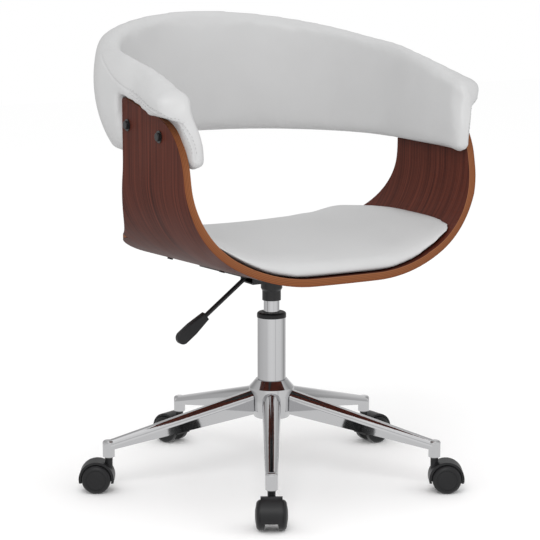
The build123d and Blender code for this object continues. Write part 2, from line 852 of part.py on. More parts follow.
def seat_pad(inset):
    half = pad_half_width - inset
    with BuildPart() as pad:
        with BuildSketch(crown_plane) as section:
            with BuildLine():
                Line((0, -pad_top), (0, pad_top - inset))
                CenterArc((0, pad_top + dish_radius), dish_radius + inset, -90, degrees(dish_turn))
                side_sweep = degrees(side_turn - dish_turn)
                side_start = degrees(dish_turn) - 90
                side_arc = CenterArc((side_x, side_y), side_radius + inset, side_start, side_sweep)
                Line(side_arc @ 1, ((side_arc @ 1).X, -pad_top))
                Line(((side_arc @ 1).X, -pad_top), (0, -pad_top))
            make_face()
            mirror(about=Plane.YZ)
        revolve(axis=crown_axis, revolution_arc=crown_turn)
        revolve(profiles=section.sketch, axis=crown_axis.reverse(), revolution_arc=crown_turn)
        add(trough(pad_bed), mode=Mode.INTERSECT)
        with BuildSketch(Plane.XY) as plan:
            with BuildLine():
                front_y = front_arc(pad_front_setback + inset, half)
                rear_middle = shell_rear - pad_rear_setback - inset
                rear_y = rear_middle - half * half / (2 * pad_rear_bow)
                Line((half, front_y), (half, rear_y))
                ThreePointArc((half, rear_y), (0, rear_middle), (-half, rear_y))
                Line((-half, rear_y), (-half, front_y))
            make_face()
            fillet(plan.vertices().sort_by(Axis.Y)[:2], pad_front_corner - inset)
            fillet(plan.vertices().sort_by(Axis.Y)[-2:], pad_rear_corner - inset)
        extrude(amount=arm_top_rear, mode=Mode.INTERSECT)
        top_faces = [face for face in pad.faces() if face.normal_at().Z > 0.6]
        wall_faces = [face for face in pad.faces() if abs(face.normal_at().Z) < 0.1]
        wall_edges = [edge for face in wall_faces for edge in face.edges()]
        top_edges = [edge for face in top_faces for edge in face.edges()]
        rim = [edge for edge in top_edges if any(edge.is_same(other) for other in wall_edges)]
        fillet(rim, pad_rounding - inset)
    return pad.part


seat_cavity = seat_pad(cover_thickness)
seat_core = seat_pad(cover_thickness + soft_clearance)
with BuildPart() as seat_cover:
    add(seat_pad(0))
    add(seat_cavity, mode=Mode.SUBTRACT)
seat_cover.part.label = "seat_cover"
export_step(seat_cover.part, "parts/seat_cover.step")

board_top = pad_bed + seat_board_thickness
with BuildPart() as seat_foam:
    add(seat_core)
    add(trough(board_top + soft_clearance), mode=Mode.INTERSECT)
seat_foam.part.label = "seat_foam"
export_step(seat_foam.part, "parts/seat_foam.step")

with BuildPart() as seat_board:
    add(seat_core)
    add(trough(board_top), mode=Mode.SUBTRACT)
    with BuildSketch(seat_plane.offset(shell_thickness)):
        with Locations(*plate_bolt_spots):
            Circle(t_nut_flange_radius + soft_clearance)
    extrude(amount=t_nut_flange + soft_clearance, mode=Mode.SUBTRACT)
    with BuildSketch(*seat_screw_planes):
        Circle(seat_screw_radius + close_clearance)
    extrude(amount=-(pad_bed + seat_screw_bite + soft_clearance), mode=Mode.SUBTRACT)
seat_board.part.label = "seat_board"
export_step(seat_board.part, "parts/seat_board.step")

# Seat fasteners: bolts and T-nuts of the plate, screws of the board
with BuildPart() as plate_bolts:
    with BuildSketch(seat_plane.offset(-plate_thickness)):
        with Locations(*plate_bolt_spots):
            Circle(bolt_head_radius)
    extrude(amount=-bolt_head)
    with BuildSketch(seat_plane.offset(-plate_thickness)):
        with Locations(*plate_bolt_spots):
            Circle(bolt_radius)
    extrude(amount=plate_thickness + shell_thickness - t_nut_flange)
plate_bolts.part.label = "plate_bolts"
export_step(plate_bolts.part, "parts/plate_bolts.step")

with BuildPart() as shell_t_nuts:
    with BuildSketch(seat_plane.offset(shell_thickness)):
        with Locations(*plate_bolt_spots):
            Circle(t_nut_flange_radius)
    extrude(amount=t_nut_flange)
    with BuildSketch(seat_plane.offset(shell_thickness)):
        with Locations(*plate_bolt_spots):
            Circle(t_nut_radius)
    extrude(amount=-shell_thickness * 0.7)
    with BuildSketch(seat_plane):
        with Locations(*plate_bolt_spots):
            Circle(bolt_radius + running_clearance)
    extrude(amount=2 * shell_thickness, mode=Mode.SUBTRACT)
shell_t_nuts.part.label = "shell_t_nuts"
export_step(shell_t_nuts.part, "parts/shell_t_nuts.step")

with BuildPart() as seat_screws:
    with BuildSketch(*seat_screw_planes):
        Circle(seat_screw_head_radius)
    extrude(amount=seat_screw_head)
    fillet(seat_screws.faces().sort_by(SortBy.AREA)[-4:].edges(), seat_screw_head * 0.2)
    with BuildSketch(*seat_screw_planes):
        Circle(seat_screw_radius)
    extrude(amount=-(pad_bed + seat_screw_bite))
seat_screws.part.label = "seat_screws"
export_step(seat_screws.part, "parts/seat_screws.step")


# Back pad: a horseshoe lofted through upright sections, from one arm's end round the back to the other
def back_section(plane, y, shift, roll, foot_roll, width, bottom, top, inset):
    roll = roll - inset
    foot_roll = foot_roll - inset
    low = bottom + inset + foot_roll
    high = top - inset - roll
    middle = (low + high) / 2
    inner_low = back_inner_radius + shift + back_lean * (low - back_bottom) + inset
    inner_high = back_inner_radius + shift + back_lean * (high - back_bottom) + inset
    bulge = (inner_low + inner_high) / 2 + width - 2 * inset
    crest = (inner_high + roll, high + roll)
    sole = (inner_low + foot_roll, low - foot_roll)
    with BuildSketch(plane) as section:
        with BuildLine():
            Line((inner_low, low), (inner_high, high))
            RadiusArc((inner_high, high), crest, roll)
            RadiusArc(crest, (inner_high + 2 * roll, high), roll)
            ThreePointArc((inner_high + 2 * roll, high), (bulge, middle), (inner_low + 2 * foot_roll, low))
            RadiusArc((inner_low + 2 * foot_roll, low), sole, foot_roll)
            RadiusArc(sole, (inner_low, low), foot_roll)
        make_face()
    return section.sketch


def back_top(y):
    return back_middle_top + back_top_slope * y + back_top_curve * y * y


def back_foot(y):
    return back_bottom + back_bottom_slope * y


# Sections of the arm's rounded end: setback from the tip, shift outward, rolls, width, drop of the top
arm_end_sections = (
    (0.0, 9.0, 9.0, 5.0, 17.0, 27.0, 10.0),
    (5.0, 4.0, 15.0, 8.0, 26.0, 11.0, 4.0),
    (15.0, 1.0, 19.0, 10.5, 32.5, 2.0, 0.0),
)
# Sections along the arm: distance in front of the column, top roll, width
arm_sections = (
    (182.0, 19.0, 34.5),
    (164.0, 18.0, 36.0),
    (130.0, 16.0, 37.5),
    (85.0, 14.0, 38.0),
    (40.0, 13.5, 38.5),
    (0.0, 14.0, 39.0),
)
back_turns = (22.5, 45.0, 67.5, 90.0)


def back_pad(inset):
    half_run = []
    for setback, shift, roll, foot_roll, width, fall, rise in arm_end_sections:
        y = -back_front + setback
        place = y + inset
        bottom = back_foot(y) + rise
        half_run.append((0.0, place, y, shift, roll, foot_roll, width, bottom, back_top(y) - fall))
    for distance, roll, width in arm_sections:
        y = -distance
        half_run.append((0.0, y, y, 0.0, roll, back_bottom_roll, width, back_foot(y), back_top(y)))
    for turn in back_turns:
        y = (back_inner_radius + back_width / 2) * sin(radians(turn))
        width = back_width - back_taper * cos(radians(turn))
        half_run.append((turn, 0.0, y, 0.0, back_roll, back_bottom_roll, width, back_foot(y), back_top(y)))
    sections = []
    for turn, place, *values in half_run:
        outward = Vector(cos(radians(turn)), sin(radians(turn)), 0)
        plane = Plane(origin=(0, place, 0), x_dir=outward, z_dir=outward.cross(Vector(0, 0, 1)))
        sections.append(back_section(plane, *values, inset))
    for turn, place, *values in reversed(half_run[:-1]):
        outward = Vector(-cos(radians(turn)), sin(radians(turn)), 0)
        plane = Plane(origin=(0, place, 0), x_dir=outward, z_dir=outward.cross(Vector(0, 0, 1)))
        sections.append(back_section(plane, *values, inset))
    with BuildPart() as pad:
        loft(sections=sections)
        add(arm_rebate(inset), mode=Mode.SUBTRACT)
    return pad.part


# Rebate in the pad's outside, where the arm of the shell lies against it below the lip
rebate_x = wall_inner - soft_clearance
lip_bend_y = -(front_edge_at_arm - arm_front_rounding * 0.8)


def arm_rebate(inset):
    rear = arm_rear + soft_clearance + inset
    top_rear = arm_top_rear + arm_top_fall * soft_clearance + lip_gap + inset
    bend_height = arm_top_rear + arm_top_fall * (lip_bend_y - arm_rear) + lip_gap + inset
    with BuildPart() as rebate:
        with BuildSketch(Plane.YZ.offset(rebate_x)):
            with BuildLine():
                Polyline(
                    (rear, sweep_end_z),
                    (rear, top_rear),
                    (lip_bend_y, bend_height),
                    (-outline_reach, bend_height + lip_front_rise),
                    (-outline_reach, sweep_end_z),
                    close=True,
                )
            make_face()
        extrude(amount=shell_half_width)
        mirror(about=Plane.YZ)
    return rebate.part


back_cavity = back_pad(cover_thickness)
with BuildPart() as back_cover:
    add(back_pad(0))
    add(back_cavity, mode=Mode.SUBTRACT)
back_cover.part.label = "back_cover"
export_step(back_cover.part, "parts/back_cover.step")

# Back board: a bent panel inside the foam, leaning with the pad's inner face
def board_inner(height):
    return back_inner_radius + back_board_setback + back_lean * (height - back_bottom)


board_rear = back_inner_radius + back_width
board_top_rear = back_board_top_front + back_board_top_slope * (back_board_front + board_rear)
board_slant = [
    (board_inner(back_board_bottom), back_board_bottom),
    (board_inner(back_board_bottom) + back_board_thickness, back_board_bottom),
    (board_inner(board_top_rear) + back_board_thickness, board_top_rear),
    (board_inner(board_top_rear), board_top_rear),
]
with BuildPart() as back_board:
    with BuildSketch(Plane.XZ) as board_section:
        with BuildLine():
            Polyline(*board_slant, close=True)
        make_face()
    revolve(axis=Axis.Z, revolution_arc=180)
    extrude(to_extrude=board_section.sketch, amount=back_board_front)
    other_section = mirror(board_section.sketch, about=Plane.YZ, mode=Mode.PRIVATE)
    extrude(to_extrude=other_section, amount=back_board_front)
    with BuildSketch(Plane.YZ.offset(-2 * shell_half_width)):
        with BuildLine():
            Polyline(
                (-back_board_front, back_board_bottom),
                (board_rear, back_board_bottom),
                (board_rear, board_top_rear),
                (-back_board_front, back_board_top_front),
                close=True,
            )
        make_face()
    extrude(amount=4 * shell_half_width, mode=Mode.INTERSECT)
    with BuildSketch(Plane.YZ):
        with Locations(*arm_bolt_places):
            Circle(t_nut_radius + close_clearance)
    extrude(amount=shell_half_width, both=True, mode=Mode.SUBTRACT)
back_board.part.label = "back_board"
export_step(back_board.part, "parts/back_board.step")

# Arm fasteners: a button bolt and washer outside each hole, a T-nut on the board inside
arm_planes = [
    Plane(origin=(side * shell_half_width, y, z), x_dir=(0, 1, 0), z_dir=(side, 0, 0))
    for side in (-1, 1)
    for y, z in arm_bolt_places
]
nut_planes = [
    plane.offset(board_inner(plane.origin.Z - t_nut_flange_radius) - close_clearance - shell_half_width)
    for plane in arm_planes
]
with BuildPart() as arm_washers:
    with BuildSketch(*arm_planes):
        Circle(arm_washer_radius)
        Circle(bolt_radius + bolt_hole_clearance, mode=Mode.SUBTRACT)
    extrude(amount=arm_washer)
arm_washers.part.label = "arm_washers"
export_step(arm_washers.part, "parts/arm_washers.step")

with BuildPart() as arm_bolts:
    with BuildSketch(*[plane.offset(arm_washer) for plane in arm_planes]):
        Circle(arm_bolt_head_radius)
    extrude(amount=arm_bolt_head)
    outer_faces = arm_bolts.faces().sort_by(Axis.X)
    fillet((outer_faces[:2] + outer_faces[-2:]).edges(), arm_bolt_dome)
    with BuildSketch(*[plane.offset(arm_washer) for plane in arm_planes]):
        Circle(bolt_radius)
    extrude(amount=board_inner(back_board_bottom) - shell_half_width)
arm_bolts.part.label = "arm_bolts"
export_step(arm_bolts.part, "parts/arm_bolts.step")

with BuildPart() as arm_t_nuts:
    with BuildSketch(*nut_planes):
        Circle(t_nut_flange_radius)
    extrude(amount=-t_nut_flange)
    with BuildSketch(*nut_planes):
        Circle(t_nut_radius)
    extrude(amount=back_board_thickness)
    with BuildSketch(*arm_planes):
        Circle(bolt_radius + running_clearance)
    extrude(amount=-shell_half_width / 2, mode=Mode.SUBTRACT)
arm_t_nuts.part.label = "arm_t_nuts"
export_step(arm_t_nuts.part, "parts/arm_t_nuts.step")

# Back foam: round the board, with pockets for the arm fasteners
with BuildPart() as back_foam:
    add(back_pad(cover_thickness + soft_clearance))
    add(back_board.part, mode=Mode.SUBTRACT)
    with BuildSketch(*[plane.offset(back_board_thickness / 2) for plane in nut_planes]):
        Circle(t_nut_flange_radius + soft_clearance)
    extrude(amount=-(back_board_thickness / 2 + t_nut_flange + soft_clearance), mode=Mode.SUBTRACT)
    with BuildSketch(*nut_planes):
        Circle(t_nut_radius + soft_clearance)
    extrude(amount=shell_half_width / 4, mode=Mode.SUBTRACT)
back_foam.part.label = "back_foam"
export_step(back_foam.part, "parts/back_foam.step")
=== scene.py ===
# %% [markdown]
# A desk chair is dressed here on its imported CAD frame: hard pieces keep their CAD shape and get
# materials, and the two pads are made again as soft leatherette cushions. Everything is in metres, with
# the sitter facing -y and z up.

# %% Load the frame
import bpy
import math
from mathutils import Matrix, Vector
from mathutils.kdtree import KDTree


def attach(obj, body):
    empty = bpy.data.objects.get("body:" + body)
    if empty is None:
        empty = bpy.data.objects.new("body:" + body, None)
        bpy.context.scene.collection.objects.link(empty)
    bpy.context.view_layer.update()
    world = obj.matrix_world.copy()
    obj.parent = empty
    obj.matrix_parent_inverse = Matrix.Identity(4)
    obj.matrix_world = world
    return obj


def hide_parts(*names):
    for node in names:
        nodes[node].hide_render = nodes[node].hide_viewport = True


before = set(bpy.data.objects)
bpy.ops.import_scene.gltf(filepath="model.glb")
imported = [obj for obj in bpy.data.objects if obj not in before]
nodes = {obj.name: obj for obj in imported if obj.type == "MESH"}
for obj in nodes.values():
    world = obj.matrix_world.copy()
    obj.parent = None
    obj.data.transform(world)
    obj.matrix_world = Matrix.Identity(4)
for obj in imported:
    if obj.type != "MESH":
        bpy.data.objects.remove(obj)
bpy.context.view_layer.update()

# %% [markdown]
# Materials come first. Two effects are shared by several of them, so they are node groups: a fine
# pebble grain for leatherette and moulded plastic, and a slow cloudy wear that varies the roughness.
# A group is made once and used by every material that needs it.

# %% Shared shader groups


def new_group(name, inputs, outputs):
    group = bpy.data.node_groups.new(name, "ShaderNodeTree")
    for label, value in inputs:
        socket = group.interface.new_socket(label, in_out="INPUT", socket_type="NodeSocketFloat")
        socket.default_value = value
    for label in outputs:
        group.interface.new_socket(label, in_out="OUTPUT", socket_type="NodeSocketFloat")
    start = group.nodes.new("NodeGroupInput")
    end = group.nodes.new("NodeGroupOutput")
    place = group.nodes.new("ShaderNodeTexCoord")
    return group, start, end, place


pebble, start, end, place = new_group("Pebble grain", [("Scale", 900.0)], ["Height"])
cells = pebble.nodes.new("ShaderNodeTexVoronoi")
cells.feature = "SMOOTH_F1"
pebble.links.new(place.outputs["Object"], cells.inputs["Vector"])
pebble.links.new(start.outputs["Scale"], cells.inputs["Scale"])
pebble.links.new(cells.outputs["Distance"], end.inputs["Height"])

wear_inputs = [("Scale", 14.0), ("Low", 0.3), ("High", 0.4)]
wear, start, end, place = new_group("Cloudy wear", wear_inputs, ["Roughness", "Clouds"])
clouds = wear.nodes.new("ShaderNodeTexNoise")
spread = wear.nodes.new("ShaderNodeMapRange")
wear.links.new(place.outputs["Object"], clouds.inputs["Vector"])
wear.links.new(start.outputs["Scale"], clouds.inputs["Scale"])
wear.links.new(clouds.outputs["Fac"], spread.inputs["Value"])
wear.links.new(start.outputs["Low"], spread.inputs["To Min"])
wear.links.new(start.outputs["High"], spread.inputs["To Max"])
wear.links.new(spread.outputs["Result"], end.inputs["Roughness"])
wear.links.new(clouds.outputs["Fac"], end.inputs["Clouds"])
print("shader groups:", pebble.name, "and", wear.name)

# %% [markdown]
# One function makes a plain material. The wear group varies its roughness and, where it is mottled, its
# colour, because no handled surface is perfectly even. The pebble group gives it a bump where it has a
# grain.

# %% Plain material maker
wear_share = 0.15
clouds_low, clouds_high = 0.3, 0.7


def new_material(
    name, color, roughness, metallic=0.0, specular=0.5, mottle=0.0, grain=None, grain_depth=0.0
):
    material = bpy.data.materials.new(name)
    material.use_nodes = True
    tree = material.node_tree
    surface = tree.nodes["Principled BSDF"]
    surface.inputs["Base Color"].default_value = (*color, 1.0)
    surface.inputs["Metallic"].default_value = metallic
    surface.inputs["Specular IOR Level"].default_value = specular
    worn = tree.nodes.new("ShaderNodeGroup")
    worn.node_tree = wear
    worn.inputs["Low"].default_value = roughness * (1.0 - wear_share)
    worn.inputs["High"].default_value = roughness * (1.0 + wear_share)
    tree.links.new(worn.outputs["Roughness"], surface.inputs["Roughness"])
    if mottle:
        shades = tree.nodes.new("ShaderNodeMapRange")
        shades.inputs["From Min"].default_value = clouds_low
        shades.inputs["From Max"].default_value = clouds_high
        shades.inputs["To Min"].default_value = 1.0 - mottle
        shades.inputs["To Max"].default_value = 1.0 + mottle
        tree.links.new(worn.outputs["Clouds"], shades.inputs["Value"])
        tint = tree.nodes.new("ShaderNodeVectorMath")
        tint.operation = "SCALE"
        tint.inputs["Vector"].default_value = color
        tree.links.new(shades.outputs["Result"], tint.inputs["Scale"])
        tree.links.new(tint.outputs["Vector"], surface.inputs["Base Color"])
    if grain:
        pebbles = tree.nodes.new("ShaderNodeGroup")
        pebbles.node_tree = pebble
        pebbles.inputs["Scale"].default_value = grain
        bump = tree.nodes.new("ShaderNodeBump")
        bump.inputs["Distance"].default_value = grain_depth
        tree.links.new(pebbles.outputs["Height"], bump.inputs["Height"])
        tree.links.new(bump.outputs["Normal"], surface.inputs["Normal"])
    return material


# %% [markdown]
# The base is chromed, the casters and the grip are moulded in black plastic, the plate and the bracket
# are lacquered sheet steel, and the pads are covered in light grey leatherette. Each is one call with its
# colour and its roughness.

# %% Plain materials
chrome = new_material("Polished chrome", (0.63, 0.63, 0.64), 0.055, metallic=1.0)
black_plastic = new_material(
    "Black moulded plastic", (0.012, 0.012, 0.013), 0.40,
    specular=0.3, mottle=0.2, grain=1400.0, grain_depth=0.00008,
)
black_steel = new_material("Black lacquered steel", (0.010, 0.010, 0.011), 0.30)
grey_steel = new_material("Bright steel", (0.55, 0.55, 0.56), 0.28, metallic=1.0)
dark_plating = new_material("Dark plated steel", (0.10, 0.10, 0.10), 0.32, metallic=1.0)
rubber = new_material("Black rubber", (0.02, 0.02, 0.02), 0.7, mottle=0.2)
leatherette = new_material(
    "Light grey leatherette", (0.505, 0.506, 0.508), 0.44,
    mottle=0.015, grain=1100.0, grain_depth=0.00012,
)
thread = new_material("Grey thread", (0.33, 0.33, 0.33), 0.6)
raw_board = new_material("Raw board", (0.42, 0.28, 0.16), 0.7, mottle=0.15)
white_paper = new_material("White studio paper", (0.985, 0.985, 0.985), 0.9, specular=0.0)
print("plain materials made")

# %% [markdown]
# The shell is one sheet of plywood, pressed in a mould while its glue sets, so that it bends from one arm
# under the seat to the other. Its cut edge shows the plies, which follow the depth in the sheet. That
# depth is worked out from the U's two arcs and stored on the mesh, because a shader has no other way to
# know how deep in the sheet a point lies.

# %% Ply depth
shell_bottom, tilt = 0.3822, math.radians(1.6)
flat_half, belly_radius, corner_radius, half_width, sheet = 0.060, 0.283, 0.160, 0.281, 0.013
belly_turn = math.asin((half_width - flat_half - corner_radius) / (belly_radius - corner_radius))
corner_height = belly_radius - (belly_radius - corner_radius) * math.cos(belly_turn)


def ply_depth(point):
    across = abs(point.x)
    height = (point.z - shell_bottom) * math.cos(tilt) + point.y * math.sin(tilt)
    if height > corner_height:
        return (half_width - across) / sheet
    if across < flat_half:
        return height / sheet
    turn = math.atan2(across - flat_half, belly_radius - height)
    if turn < belly_turn:
        return (belly_radius - math.hypot(across - flat_half, belly_radius - height)) / sheet
    from_corner = math.hypot(across - half_width + corner_radius, corner_height - height)
    return (corner_radius - from_corner) / sheet


shell = nodes["plywood_shell"]
depths = shell.data.attributes.new("ply_depth", "FLOAT", "POINT")
depths.data.foreach_set("value", [ply_depth(vertex.co) for vertex in shell.data.vertices])
print("shell vertices with a ply depth:", len(shell.data.vertices))

# %% [markdown]
# The faces are walnut veneer, stained and lacquered. Its grain runs along the U, so a round noise is
# squeezed from front to rear, which leaves long thin streaks along the bend. A ramp turns them into dark
# and light brown.

# %% Walnut veneer
streaks, streak_scale, streak_detail, streak_sway = (2.2, 150.0, 2.2), 1.6, 6.0, 0.9
walnut = new_material("Walnut plywood", (0.12, 0.03, 0.015), 0.45, specular=0.10)
tree = walnut.node_tree
surface = tree.nodes["Principled BSDF"]
place = tree.nodes.new("ShaderNodeTexCoord")
stretch = tree.nodes.new("ShaderNodeMapping")
stretch.inputs["Scale"].default_value = streaks
tree.links.new(place.outputs["Object"], stretch.inputs["Vector"])
grain = tree.nodes.new("ShaderNodeTexNoise")
grain.inputs["Scale"].default_value = streak_scale
grain.inputs["Detail"].default_value = streak_detail
grain.inputs["Distortion"].default_value = streak_sway
tree.links.new(stretch.outputs["Vector"], grain.inputs["Vector"])
veneer = tree.nodes.new("ShaderNodeValToRGB")
veneer.color_ramp.elements[0].position = 0.30
veneer.color_ramp.elements[0].color = (0.042, 0.0085, 0.0048, 1.0)
veneer.color_ramp.elements[1].position = 0.72
veneer.color_ramp.elements[1].color = (0.118, 0.027, 0.0148, 1.0)
tree.links.new(grain.outputs["Fac"], veneer.inputs["Fac"])
print("veneer on", walnut.name)

# %% [markdown]
# On the cut edge thin dark glue lines part the plies. Across the edge a painted shade darkens it towards
# the outer face and a painted highlight lightens it towards the inner one. The edge is told from the faces
# by its direction, because only the edge looks to the front or to the rear. A mix node then shows the edge
# or the veneer.

# %% Ply edge
ply_half, line_width, line_shade, edge_limit = 0.1, 0.05, 0.40, 0.1
depth = tree.nodes.new("ShaderNodeAttribute")
depth.attribute_name = "ply_depth"
plies = tree.nodes.new("ShaderNodeMath")
plies.operation = "PINGPONG"
plies.inputs[1].default_value = ply_half
tree.links.new(depth.outputs["Fac"], plies.inputs[0])
lines = tree.nodes.new("ShaderNodeMapRange")
lines.inputs["From Max"].default_value = line_width
lines.inputs["To Min"].default_value = line_shade
tree.links.new(plies.outputs["Value"], lines.inputs["Value"])
# This ramp gives the edge its orange-brown colour plus painted light: shade towards the outer face, a
# highlight towards the inner face.
edge_colour_and_painted_shade = tree.nodes.new("ShaderNodeValToRGB")
edge_colour_and_painted_shade.color_ramp.elements[0].color = (0.13, 0.036, 0.015, 1.0)
edge_colour_and_painted_shade.color_ramp.elements[1].color = (0.27, 0.115, 0.058, 1.0)
for position, color in ((0.12, (0.21, 0.070, 0.025)), (0.90, (0.235, 0.085, 0.033))):
    edge_colour_and_painted_shade.color_ramp.elements.new(position).color = (*color, 1.0)
tree.links.new(depth.outputs["Fac"], edge_colour_and_painted_shade.inputs["Fac"])
edge = tree.nodes.new("ShaderNodeVectorMath")
edge.operation = "SCALE"
tree.links.new(edge_colour_and_painted_shade.outputs["Color"], edge.inputs["Vector"])
tree.links.new(lines.outputs["Result"], edge.inputs["Scale"])

facing = tree.nodes.new("ShaderNodeVectorMath")
facing.operation = "DOT_PRODUCT"
facing.inputs[1].default_value = (0.0, -math.cos(tilt), math.sin(tilt))
tree.links.new(place.outputs["Normal"], facing.inputs[0])
to_front_or_rear = tree.nodes.new("ShaderNodeMath")
to_front_or_rear.operation = "ABSOLUTE"
tree.links.new(facing.outputs["Value"], to_front_or_rear.inputs[0])
on_edge = tree.nodes.new("ShaderNodeMath")
on_edge.operation = "GREATER_THAN"
on_edge.inputs[1].default_value = edge_limit
tree.links.new(to_front_or_rear.outputs["Value"], on_edge.inputs[0])
either = tree.nodes.new("ShaderNodeMix")
either.data_type = "RGBA"
tree.links.new(on_edge.outputs["Value"], either.inputs["Factor"])
tree.links.new(veneer.outputs["Color"], either.inputs["A"])
tree.links.new(edge.outputs["Vector"], either.inputs["B"])
tree.links.new(either.outputs["Result"], surface.inputs["Base Color"])
print("ply edge on", walnut.name)

# %% [markdown]
# The real pieces come from different makers: plated tube, moulded plastic, lacquered sheet steel and
# bright fasteners. Each CAD node takes one material by the start of its name. One table holds all of it,
# so a finish is changed in one line.

# %% Dress the CAD nodes
looks = (
    (chrome, ("base_hub", "base_leg", "column_tube", "gas_cylinder")),
    (black_plastic, ("caster_hood", "caster_wheel", "guide_bush", "lever_grip")),
    (black_steel, ("taper_socket", "seat_plate", "lever_bracket", "lever_rod")),
    (black_steel, ("arm_bolts", "plate_bolts", "seat_screws", "lever_pivot_pin")),
    (dark_plating, ("arm_washers", "caster_stem")),
    (grey_steel, ("arm_t_nuts", "shell_t_nuts", "caster_axle")),
    (grey_steel, ("thrust_bearing", "bearing_washer", "piston_rod", "retaining_clip", "release_pin")),
    (rubber, ("buffer",)),
    (walnut, ("plywood_shell",)),
    (raw_board, ("seat_board", "back_board")),
    (leatherette, ("seat_cover", "back_cover", "seat_foam", "back_foam")),
)
for material, starts in looks:
    for name, piece in nodes.items():
        if name.startswith(starts):
            piece.data.materials.clear()
            piece.data.materials.append(material)
print("dressed", len(nodes), "nodes")

# %% [markdown]
# A real pad is foam on a board, with a cover pulled over it and stapled. Here a pad starts from copies of
# its CAD cover, foam and board. They are remeshed into one skin, drawn to the soft form that the pad has
# in use, smoothed, and blown up a little as cloth while the resting faces are pinned. A cap holds how far
# the cloth may swell.

# %% Cushion maker
cloth_frames, cloth_stiffness, cloth_bending, smoothing = 20, 25.0, 2.0, 0.5


def only(piece):
    bpy.ops.object.select_all(action="DESELECT")
    piece.select_set(True)
    bpy.context.view_layer.objects.active = piece


def apply_modifier(piece, kind, **settings):
    only(piece)
    modifier = piece.modifiers.new(kind.title(), kind)
    for setting, value in settings.items():
        setattr(modifier, setting, value)
    bpy.ops.object.modifier_apply(modifier=modifier.name)


def smooth_step(low, high, value):
    share = min(max((value - low) / (high - low), 0.0), 1.0)
    return share * share * (3.0 - 2.0 * share)


def joined_copies(name, sources):
    bpy.ops.object.select_all(action="DESELECT")
    for source in sources:
        copy = bpy.data.objects.new(name, nodes[source].data.copy())
        bpy.context.collection.objects.link(copy)
        copy.select_set(True)
        bpy.context.view_layer.objects.active = copy
    bpy.ops.object.join()
    joined = bpy.context.view_layer.objects.active
    joined.name = name
    return joined


def swell(pad, pinned, cap, pressure):
    rest = [vertex.co.copy() for vertex in pad.data.vertices]
    pins = pad.vertex_groups.new(name="pins")
    held = [vertex.index for vertex in pad.data.vertices if pinned(vertex.co, vertex.normal)]
    pins.add(held, 1.0, "REPLACE")
    cloth = pad.modifiers.new("Cloth", "CLOTH")
    cloth.settings.vertex_group_mass = "pins"
    cloth.settings.use_pressure = True
    cloth.settings.uniform_pressure_force = pressure
    cloth.settings.tension_stiffness = cloth_stiffness
    cloth.settings.compression_stiffness = cloth_stiffness
    cloth.settings.bending_stiffness = cloth_bending
    cloth.settings.effector_weights.gravity = 0.0
    cloth.point_cache.frame_end = cloth_frames
    for step in range(1, cloth_frames + 1):
        bpy.context.scene.frame_set(step)
    only(pad)
    bpy.ops.object.modifier_apply(modifier=cloth.name)
    bpy.context.scene.frame_set(1)
    for vertex, old in zip(pad.data.vertices, rest):
        move = vertex.co - old
        if move.length > cap:
            vertex.co = old + move * (cap / move.length)


def new_cushion(name, sources, voxel, drawn, rounds, pinned, cap, pressure, settling):
    pad = joined_copies(name, sources)
    apply_modifier(pad, "REMESH", mode="VOXEL", voxel_size=voxel)
    moves = [drawn(vertex.co, vertex.normal) for vertex in pad.data.vertices]
    for vertex, move in zip(pad.data.vertices, moves):
        vertex.co += move
    apply_modifier(pad, "SMOOTH", factor=smoothing, iterations=rounds)
    swell(pad, pinned, cap, pressure)
    apply_modifier(pad, "SMOOTH", factor=smoothing, iterations=settling)
    apply_modifier(pad, "SUBSURF", levels=1)
    bpy.ops.object.shade_smooth()
    pad.data.materials.clear()
    pad.data.materials.append(leatherette)
    return pad


# %% [markdown]
# The seat pad is soft at its rim, and its sides creep up the bend of the shell. Each smooth step goes from
# 0 to 1 between two places on the pad. The pad is pinned where it lies on the shell.

# %% Seat cushion
creep_out, creep_up, creep_forward, facing_down = 0.016, 0.014, 0.006, -0.35


def creep_up_sides(co, normal):
    side = smooth_step(0.13, 0.22, abs(co.x)) * smooth_step(0.16, -0.06, co.y)
    front = smooth_step(-0.16, -0.23, co.y)
    return Vector((math.copysign(creep_out * side, co.x), -creep_forward * front, creep_up * side))


def lies_on_shell(co, normal):
    return normal.z < facing_down


seat_cushion = new_cushion(
    name="seat_cushion", sources=("seat_cover", "seat_foam", "seat_board"), voxel=0.005,
    drawn=creep_up_sides, rounds=22, pinned=lies_on_shell, cap=0.004, pressure=4.0, settling=34,
)
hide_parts("seat_cover", "seat_foam", "seat_board")
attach(seat_cushion, "seat")
print("seat cushion vertices:", len(seat_cushion.data.vertices))

# %% [markdown]
# The back pad is fuller behind the arms, its arms are highest half way along, and each arm's lip droops
# outward to a tip at the front. Below the lip a strip of the arm's end swells over the plywood's front
# edge. The pad is pinned where the shell lies against it.

# %% Back cushion
lip_out, lip_drop, lip_thinning = 0.018, 0.002, 0.010
tip_in, tip_drop = 0.010, 0.012
strip_out, inner_in = 0.013, 0.006
fullness, full_sideways, full_rearward = 0.008, 0.87, 0.5
arm_rise, front_drop = 0.007, 0.004
upper_rearward, lower_forward = 0.010, 0.006
pin_face_from, pin_face_to, pin_rear, pin_top = 0.2645, 0.2705, 0.013, 0.69


